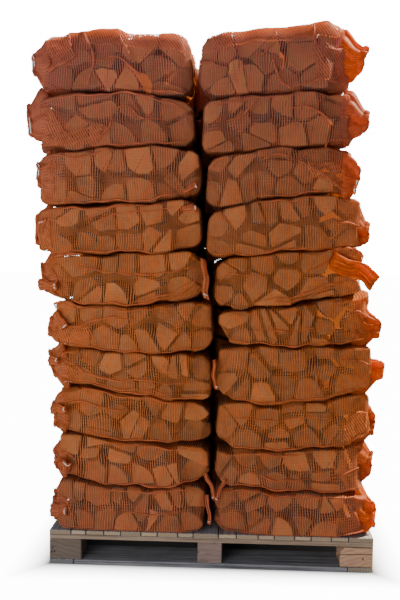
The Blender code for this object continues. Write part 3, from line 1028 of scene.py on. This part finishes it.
def net_material(name, wale_share, lace_share, unevenness, tones, glow, sheen_share):
    """Knitted raschel net of orange polyethylene tape: shiny flat strands with holes between.

    The strands run round the sack with zigzag inlays between them, and draw apart where it is tight.
    Part of the light goes through a strand, so that the net glows against the sun. The tones are
    those of a strand in light and in shade, and of the light that comes through it.
    """
    tint, dark, lit = tones
    material, add = new_material(name)
    cloth = add("SeparateXYZ", add("UVMap", uv_map="Pattern"))
    body = add("TexCoord").outputs["Object"]
    spot = add("SeparateXYZ", body)
    # Each strand and inlay, as the distance from its own middle line, from 0 to 1
    wander = add("MULTIPLY", add("SUBTRACT", add("TexNoise", body, in_Scale=9.0), 0.5), STRAND_WANDER)
    across = add("FRACT", add("DIVIDE", add("ADD", cloth.outputs[0], wander), WALE_PITCH))
    off_wale = add("MULTIPLY", add("ABSOLUTE", add("SUBTRACT", across, 0.5)), 2.0)
    zigzag = add("ADD", add("DIVIDE", cloth.outputs[1], INLAY_PITCH), add("MULTIPLY", off_wale, ZIGZAG))
    off_lace = add("MULTIPLY", add("ABSOLUTE", add("SUBTRACT", add("FRACT", zigzag), 0.5)), 2.0)
    # They widen where the net is drawn together, at the sacks' outer ends and over the top
    stretch = add("TexNoise", body, in_Scale=20.0, in_Detail=3.0)
    tight = add("MULTIPLY", add("SUBTRACT", stretch, 0.5), unevenness)
    upper = add("MapRange", spot.outputs[2], *GATHERED_TOP)
    outwards = add("ABSOLUTE", add("SUBTRACT", spot.outputs[0], STACK_MIDDLE))
    outer = add("MapRange", outwards, *GATHERED_ENDS, 0.0, 0.55)
    gather = add("MAXIMUM", outer, add("MULTIPLY", upper, 0.75))
    wale_width = add("ADD", add("ADD", tight, wale_share), add("MULTIPLY", gather, 0.48))
    lace_width = add("ADD", add("ADD", tight, lace_share), add("MULTIPLY", gather, 0.60))
    wale = add("MULTIPLY", add("SUBTRACT", wale_width, off_wale), 5.0, use_clamp=True)
    inlay = add("MULTIPLY", add("SUBTRACT", lace_width, off_lace), 4.0, use_clamp=True)
    cover = add("MAXIMUM", wale, add("MULTIPLY", inlay, 0.85))
    # The nets of two rows that press face to face close each other's holes
    facing = add("SeparateXYZ", add("NewGeometry").outputs["True Normal"])
    upright = add("GREATER_THAN", add("ABSOLUTE", facing.outputs[1]), 0.6)
    inside = add("LESS_THAN", add("ABSOLUTE", spot.outputs[1]), PRESSED_REACH)
    cover = add("MAXIMUM", cover, add("MULTIPLY", upright, inside))
    # Where the net lies double, its mesh still shows as shade between the strands
    strand = add("MAXIMUM", add("MapRange", off_wale, 0.50, 0.30), add("MapRange", off_lace, 0.34, 0.09))
    between = add("MapRange", strand, 1.0, 0.0, 0.0, 0.5)
    # A painted sky reflection pales the upper layers, except on top, and the lower layers turn greyer
    # towards the bottom
    sheen = add("MapRange", spot.outputs[2], *SHEEN_HEIGHTS, 0.0, MOST_SHEEN)
    greying = add("MapRange", spot.outputs[2], *GREYING_HEIGHTS, 0.0, MOST_GREYING)
    kept = add("MapRange", upper, 0.0, 1.0, sheen_share, 0.15 * sheen_share)
    sheen_and_greying = add("MULTIPLY", add("MAXIMUM", sheen, greying), kept)
    tone = add("TexNoise", body, in_Scale=60.0, in_Detail=4.0)
    colour = add("ValToRGB", tone, stops=[(0.3, dark), (0.62, tint)])
    # On top of the stack a deeper orange is mixed in, a painted glow of the sun through the net
    for share, other in ((sheen_and_greying, SHEEN_AND_GREYING_NET), (add("MULTIPLY", upper, 0.7), TOP_GLOW_NET),
                         (between, SHADED_NET)):
        colour = add("Mix", share, colour, other, data_type="RGBA")
    bump = add("Bump", in_Height=cover, in_Strength=0.35, in_Distance=0.001)
    strands = add("BsdfPrincipled", in_Base_Color=colour, in_Alpha=cover, in_Roughness=0.55,
                  in_Specular_IOR_Level=0.2, in_Normal=bump)
    through = add("BsdfTranslucent", add("Mix", 0.65, colour, lit, data_type="RGBA"))
    add("OutputMaterial", add("MixShader", add("MULTIPLY", cover, glow), strands, through))
    return material


def end_grain_material():
    """Cross-cut end of a dry hardwood log: year rings round the pith, a rough sawn face, short cracks."""
    material, add = new_material("sawn_end_grain")
    from_pith = add("UVMap", uv_map="Pattern")
    place = add("SeparateXYZ", from_pith)
    body = add("TexCoord").outputs["Object"]
    warp = add("MULTIPLY", add("TexNoise", from_pith, in_Scale=25.0, in_Detail=3.0), 0.010)
    radius = add("ADD", add("VectorMath", from_pith, operation="LENGTH"), warp)
    ring = add("FRACT", add("DIVIDE", radius, YEAR_RING))
    fibre = add("TexNoise", body, in_Scale=380.0, in_Detail=3.0, in_Roughness=0.7)
    blotch = add("TexNoise", body, in_Scale=16.0, in_Detail=4.0, in_Roughness=0.6)
    turn = add("ARCTAN2", place.outputs[1], place.outputs[0])
    crack = add("MapRange", add("TexNoise", turn, noise_dimensions="1D", in_Scale=9.0), 0.69, 0.7233)
    own = add("Attribute", attribute_name="Tone").outputs["Fac"]
    wood = add("ValToRGB", blotch, stops=[(0.30, "#704426"), (0.5, "#9A6236"), (0.72, "#B8824A")])
    shades = ((0.6, add("ValToRGB", own, stops=[(0.0, "#52301C"), (0.5, "#96603A"), (1.0, "#D69656")])),
              (add("MULTIPLY", ring, 0.22), "#7A5836"),
              (add("MapRange", fibre, 0.46, 0.1267), "#6B4E34"),
              (add("MULTIPLY", crack, 0.7), "#2E2018"))
    for share, shade in shades:
        wood = add("Mix", share, wood, shade, data_type="RGBA")
    rough_surface(add, wood, 0.85, add("SUBTRACT", fibre, crack), 0.5, 0.002)
    return material


def long_grain_material(name, stops, grain, rough, depth):
    """Wood or bark seen along the log: noise drawn out along U, with furrows of the given width."""
    material, add = new_material(name)
    run = add("Mapping", add("UVMap", uv_map="Pattern"), in_Scale=(6.0, 1 / grain, 1.0))
    streak = add("TexNoise", run, in_Scale=1.0, in_Detail=5.0, in_Roughness=0.65)
    rough_surface(add, add("ValToRGB", streak, stops=stops), rough, streak, 0.7, depth)
    return material


def string_material():
    """Twisted white polyethylene string: bright, a little shiny, with a fine slanted twist."""
    material, add = new_material("twisted_white_string")
    place = add("SeparateXYZ", add("UVMap", uv_map="Pattern"))
    run = add("ADD", place.outputs[0], place.outputs[1])
    lay = add("SINE", add("MULTIPLY", run, 2 * math.pi / STRING_TWIST))
    colour = add("Mix", add("MapRange", lay, -1.0, 1.0), "#D9D8D2", "#F4F3EE", data_type="RGBA")
    add("OutputMaterial", add("BsdfPrincipled", in_Base_Color=colour, in_Roughness=0.4))
    return material


def pallet_wood(name, face, dark, end, seed, axis):
    """Rough-sawn spruce. Faces carry long grain, knots' shadows and grey weathering, ends carry rings.

    axis is the direction of the board's grain, 0 for X and 1 for Y.
    """
    material, add = new_material(name)
    body = add("TexCoord").outputs["Object"]
    place = add("SeparateXYZ", body)
    fine = [260.0, 260.0, 260.0]
    fine[axis] = 5.0
    run = add("Mapping", body, in_Location=(seed * 3.1, seed * 1.7, seed), in_Scale=fine)
    grain = add("TexNoise", run, in_Scale=0.5, in_Detail=6.0, in_Roughness=0.7)
    broad = add("TexNoise", body, in_Scale=9.0, in_Detail=4.0, in_Roughness=0.6)
    speckle = add("TexNoise", body, in_Scale=300.0, in_Detail=3.0, in_Roughness=0.7)
    stain = add("MapRange", broad, 0.45, 0.9045, 0.0, 0.55)
    long_face = add("ValToRGB", grain, stops=[(0.34, dark), (0.55, face)])
    long_face = add("Mix", stain, long_face, dark, data_type="RGBA")
    beside = add("ADD", place.outputs[1 - axis], 0.03 * math.sin(seed * 5))
    under = add("ADD", place.outputs[2], 0.10 + 0.06 * math.sin(seed * 3))
    radius = add("VectorMath", add("CombineXYZ", beside, under), operation="LENGTH")
    radius = add("ADD", radius, add("MULTIPLY", broad, 0.02))
    ring = add("PINGPONG", add("DIVIDE", radius, BOARD_RING), 1.0)
    end_face = add("Mix", add("MULTIPLY", ring, 0.45), end, dark, data_type="RGBA")
    end_face = add("Mix", add("MULTIPLY", speckle, 0.3), end_face, dark, data_type="RGBA")
    facing = add("SeparateXYZ", add("NewGeometry").outputs["True Normal"])
    is_end = add("GREATER_THAN", add("ABSOLUTE", facing.outputs[axis]), 0.8)
    colour = add("Mix", is_end, long_face, end_face, data_type="RGBA")
    rough_surface(add, colour, 0.88, add("ADD", grain, add("MULTIPLY", speckle, 0.5)), 0.6, 0.0015)
    return material


def block_wood(name, face, dark, slope, cracked, holes):
    """Sawn spruce block, its grain along X and falling by the slope: wavy darker lines 9 mm apart,
    weathered patches, dark drying cracks and nail holes at (x, z)."""
    material, add = new_material(name)
    body = add("TexCoord").outputs["Object"]
    warp = add("TexNoise", body, in_Scale=11.0, in_Detail=3.0)
    level = add("VectorMath", body, (slope, 0.3, 1.0), operation="DOT_PRODUCT")
    line = add("ADD", level, add("MULTIPLY", warp, 0.05))
    ring = add("PINGPONG", add("DIVIDE", line, BLOCK_RING), 1.0)
    drawn_out = add("Mapping", body, in_Scale=(12.0, 60.0, 170.0))
    fibre = add("TexNoise", drawn_out, in_Scale=1.0, in_Detail=5.0, in_Roughness=0.7)
    patch = add("TexNoise", body, in_Scale=14.0, in_Detail=3.0, in_Roughness=0.6)
    shake = add("TexVoronoi", drawn_out, feature="DISTANCE_TO_EDGE", in_Scale=0.16)
    pits = add("MapRange", shake, 0.05, 0.0167, 0.0, cracked)
    place = add("SeparateXYZ", body)
    flat = add("CombineXYZ", place.outputs[0], 0.0, place.outputs[2])
    for x, z in holes:
        away = add("VectorMath", flat, (x, 0.0, z), operation="DISTANCE")
        pits = add("MAXIMUM", pits, add("MapRange", away, NAIL_HOLE, 0.66 * NAIL_HOLE))
    colour = face
    for share, shade in ((add("MULTIPLY", add("POWER", ring, 3.0), 0.45), dark),
                         (add("MapRange", fibre, 0.52, 0.2343, 0.0, 0.6), dark),
                         (add("MapRange", patch, 0.5, 0.8333, 0.0, 0.5), dark),
                         (add("MULTIPLY", pits, 0.85), "#241C18")):
        colour = add("Mix", share, colour, shade, data_type="RGBA")
    rough_surface(add, colour, 0.9, add("SUBTRACT", fibre, pits), 0.7, 0.0015)
    return material


def dress_pallet():
    """Gives every board and block its own tone of the pallet's wood."""
    decks = [pallet_wood(f"weathered_deck_spruce_{k}", face, "#5C5A5A", end, k + 1, 1)
             for k, (face, end) in enumerate(DECK_TONES)]
    others = {"stringer": pallet_wood("weathered_spruce_lengthways", "#968574", "#5E5046", "#AE9A80", 7, 0),
              "bottom_cross": pallet_wood("scuffed_bottom_spruce_lengthways", "#84868C", "#3A4046",
                                          "#A09480", 10, 0),
              "bottom_runner_left": pallet_wood("grey_bottom_spruce", "#8E9094", "#44464A", "#74787C", 9, 1),
              "bottom": pallet_wood("scuffed_bottom_spruce", "#8E9094", "#44464A", "#A09480", 9, 1)}
    blocks = {"left": block_wood("grey_block_face", "#6A5F56", "#463C34", 0.22, 0.0,
                                 ((-0.588, 0.060), (-0.581, 0.046), (-0.592, 0.044))),
              "middle": block_wood("pink_block_face", "#86746F", "#62504C", -0.06, 0.0,
                                   ((-0.044, 0.058), (0.016, 0.096))),
              "right": block_wood("brown_block_face", "#B5937A", "#74563F", -0.35, 1.0,
                                  ((0.470, 0.052), (0.563, 0.050)))}
    for name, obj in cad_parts.items():
        if name.startswith("sack_row"):
            continue
        if name.startswith("deck_board"):
            chosen = decks[int(name[-2:]) % len(decks)]
        elif name.startswith("block"):
            chosen = blocks[name.rsplit("_", 1)[1]]
        else:
            chosen = next(wood for start, wood in others.items() if name.startswith(start))
        obj.data.materials.clear()
        obj.data.materials.append(chosen)


def seen_at(x, y, depth):
    """The point of the plane Y = depth that shows at place (x, y) of the picture."""
    right, up, ahead = camera_axes()
    way = ahead + (right * (x - PICTURE[0] / 2) + up * (PICTURE[1] / 2 - y)) / FOCAL_PIXELS
    return CAMERA_PLACE + way * (depth - CAMERA_PLACE[1]) / way[1]


def add_seen_mouth(nets, strings, told, tied, kind, chance):
    """A mouth of a front sack from its entry in the tables."""
    upper_root, lower_root, upper_hem, lower_hem, root_depth, hem_depth, thick = told
    root = np.stack([seen_at(*upper_root, root_depth), seen_at(*lower_root, root_depth)])
    hem = np.stack([seen_at(*upper_hem, hem_depth), seen_at(*lower_hem, hem_depth)])
    rings = mouth(nets, root, hem, thick, chance, kind)
    if tied:
        draw_string(strings, rings)


def add_hidden_mouth(nets, strings, shape, front, chance):
    """The mouth of a sack behind the front row, at a place of chance on its outer end."""
    outer, way = (shape["left"], -1) if shape["side"] == "left" else (shape["right"], 1)
    height = mid_height(shape) + chance.uniform(-0.02, 0.02)
    depth = front + LOG_LENGTH / 2 + chance.uniform(-0.03, 0.03)
    middle = np.array([outer - way * HIDDEN_START, depth, height])
    end = middle + (way * chance.uniform(*HIDDEN_REACH), chance.uniform(-0.02, 0.02),
                    chance.uniform(-0.025, 0.01))
    turn = chance.uniform(0.5, 2.2)
    across = np.array([0.0, math.cos(turn), math.sin(turn)])
    root = middle + np.outer((HIDDEN_ROOT, -HIDDEN_ROOT), across)
    hem = end + np.outer((1, -1), across) * chance.uniform(*HIDDEN_HEM)
    rings = mouth(nets, root, hem, HIDDEN_THICKNESS, chance, NET_KINDS.index("gathered"))
    if chance.random() < 0.5:
        draw_string(strings, rings)


def dress_row(side, layer, materials, meeting):
    """Net, logs and strings of the four sacks behind each other in one column and layer."""
    name = f"sack_row_{side}_{layer:02d}"
    row_form = row_shape(side, layer)
    chance = np.random.default_rng(LAYER_SEED * layer + SIDE_SEED * SIDES.index(side))
    nets, wood, strings = Patches(), Patches(), Patches()
    for row in range(ROWS_DEEP):
        front = FRONT + row * LOG_LENGTH - LOWEST_OVERHANG * (row == 0 and layer == 1)
        shape = row_variant(row_form, row, meeting, chance)
        logs = fill_sack(shape, front, row, chance)
        for log in logs:
            add_log(wood, log, chance)
        fineness = TOP_FINENESS if row and layer == LAYERS else NET_FINENESS[row]
        rings, normals, uv = net_over(shape, front, logs, fineness, chance)
        if row:
            nets.sleeve(rings, uv)
            add_hidden_mouth(nets, strings, shape, front, chance)
            continue
        folds = [(np.array(course) / 100, width / 1000) for width, *course in FOLDS[side, layer]]
        for course, width in folds:
            rings = raised(rings, normals, course, width)
        nets.sleeve(rings, uv)
        for k, told in enumerate([MOUTHS[side, layer]] + TUFTS.get((side, layer), [])):
            # Sunlit right mouths take the bright gathered net. The other right mouths take the darker drawn
            # net, and the left mouths, in shade, the duller folded net, as painted shade. Tufts take the
            # folded net too.
            kind = "gathered" if layer in SUNLIT else "drawn"
            if side == "left" or k > 0:
                kind = "folded"
            tied = k > 0 or (side, layer) in STRUNG
            add_seen_mouth(nets, strings, told, tied, NET_KINDS.index(kind), chance)
        for course, width in folds:
            ridge(nets, rings, normals, course, width, chance)
        for corners in FLAPS.get((side, layer), []):
            flap(nets, rings, normals, corners, chance)
    net = nets.build(f"net_{side}_{layer:02d}", [materials[kind] for kind in NET_KINDS])
    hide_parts(name)
    split = wood.build(f"logs_{side}_{layer:02d}", [materials[kind] for kind in LOG_KINDS], smooth=False)
    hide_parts(name)
    pieces = [net, split]
    if strings.points:
        string = strings.build(f"draw_strings_{side}_{layer:02d}", [materials["string"]])
        pieces.append(string)
    for piece in pieces:
        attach(piece, "root")


def camera_axes():
    """Unit vectors to the picture's right, up it and ahead, from the yaw, pitch and roll."""
    yaw, pitch, roll = (math.radians(a) for a in CAMERA_TURNS)
    ahead = np.array([math.sin(yaw) * math.cos(pitch), math.cos(yaw) * math.cos(pitch), math.sin(pitch)])
    right = np.array([math.cos(yaw), -math.sin(yaw), 0.0])
    up = np.cross(right, ahead)
    c, s = math.cos(roll), math.sin(roll)
    return c * right + s * up, c * up - s * right, ahead


def add_camera():
    """The photograph's view."""
    right, up, ahead = camera_axes()
    data = bpy.data.cameras.new("camera")
    data.sensor_fit = "VERTICAL"
    data.sensor_height = 24.0
    data.lens = FOCAL_PIXELS / PICTURE[1] * data.sensor_height
    bpy.context.scene.camera = set_up("camera", data, right, up, ahead, CAMERA_PLACE)


def set_up(name, data, right, up, ahead, place):
    """A camera or lamp at a place, with the given directions to its right, up it and ahead."""
    made = bpy.data.objects.new(name, data)
    turned = np.eye(4)
    turned[:3] = np.column_stack([right, up, -np.array(ahead), place])
    made.matrix_world = Matrix(turned.tolist())
    bpy.context.scene.collection.objects.link(made)
    return made


def add_light(name, kind, place, power, colour, **settings):
    """A lamp that shines on the stack's middle."""
    data = bpy.data.lights.new(name, kind)
    data.energy = power
    data.color = rgb(colour)
    for key, value in settings.items():
        setattr(data, key, value)
    ahead = unit(np.array([0, 0, 1.0]) - place)
    right = unit(np.cross(ahead, (0, 0, 1.0)))
    set_up(name, data, right, np.cross(right, ahead), ahead, place)


def add_studio():
    """A grey floor made pale by a painted glow, with a painted shadow round the pallet where the glow stops,
    a white surround, a low sun from behind and a soft fill at the front.
    """
    mesh = bpy.data.meshes.new("floor")
    mesh.from_pydata([(x * FLOOR_HALF, y * FLOOR_HALF, 0) for x, y in ((-1, -1), (1, -1), (1, 1), (-1, 1))],
                     [], [(0, 1, 2, 3)])
    floor = bpy.data.objects.new("floor", mesh)
    bpy.context.scene.collection.objects.link(floor)
    material, add = new_material("grey_floor_with_painted_glow")
    body = add("TexCoord").outputs["Object"]
    place = add("SeparateXYZ", body)
    # The floor glows to the camera, a painted light, from the pallet's edges outwards over 1/7 m, so that it
    # darkens towards the pallet as a painted shadow
    beside = add("SUBTRACT", add("ABSOLUTE", place.outputs[0]), 0.60)
    before = add("SUBTRACT", add("ABSOLUTE", place.outputs[1]), 0.50)
    clear = add("MULTIPLY", add("MAXIMUM", beside, before), 7.0, use_clamp=True)
    seen = add("LightPath").outputs["Is Camera Ray"]
    glow = add("MULTIPLY", add("MULTIPLY", seen, clear), FLOOR_GLOW)
    grey = add("Mix", add("TexNoise", body, in_Scale=3.0), "#5E5E5E", "#646464", data_type="RGBA")
    add("OutputMaterial", add("BsdfPrincipled", in_Base_Color=grey, in_Roughness=0.9,
                              in_Emission_Color="#FFFFFF", in_Emission_Strength=glow))
    mesh.materials.append(material)
    world = bpy.data.worlds.new("white_surround")
    bpy.context.scene.world = world
    world.use_nodes = True
    world.node_tree.nodes.clear()
    add = partial(add_node, world.node_tree)
    surround = add("Background", "#F2F6FF", SKY_STRENGTH)
    backdrop = add("Background", "#FFFFFF", BACKDROP_STRENGTH)
    add("OutputWorld", add("MixShader", add("LightPath").outputs["Is Camera Ray"], surround, backdrop))
    add_light("fill", "AREA", (-1.6, -3.0, 0.5), FILL_POWER, "#FFF8F4", shape="DISK", size=2.5)
    add_light("sun", "SUN", (4.6, 1.5, 6.8), SUN_STRENGTH, "#FFE9CC", angle=math.radians(1.5))


def main():
    """Sets up the view, the materials, the pallet, the rows and the studio."""
    add_camera()
    materials = {
        "net": net_material("knitted_orange_polyethylene", 0.46, 0.30, 0.6,
                            ("#D68044", "#AC6A38", "#F08018"), 0.45, 1.0),
        "gathered": net_material("gathered_orange_polyethylene", 1.0, 0.86, 0.25,
                                 ("#EC7C26", "#CE5E14", "#D86400"), 0.55, 0.15),
        "loose": net_material("loose_orange_polyethylene", 0.40, 0.30, 0.3,
                              ("#E29052", "#BC7440", "#FF9030"), 0.5, 0.8),
        "folded": net_material("folded_orange_polyethylene", 0.92, 0.80, 0.25,
                               ("#D27A48", "#A86038", "#FF8E28"), 0.4, 0.6),
        "drawn": net_material("shaded_drawn_orange_polyethylene", 0.96, 0.84, 0.25,
                              ("#CE6C2C", "#9E5020", "#DA6A10"), 0.5, 0.45),
        "end": end_grain_material(),
        "split": long_grain_material("split_hardwood", [(0.3, "#644428"), (0.7, "#9C7044")],
                                     0.004, 0.85, 0.002),
        "bark": long_grain_material("dry_furrowed_bark", [(0.35, "#2F2620"), (0.7, "#6E5E50")],
                                    0.008, 0.95, 0.005),
        "string": string_material(),
    }
    dress_pallet()
    for layer in range(1, LAYERS + 1):
        meeting = (row_shape("left", layer)["right"] + row_shape("right", layer)["left"]) / 2
        for side in SIDES:
            dress_row(side, layer, materials, meeting)
    add_studio()


main()
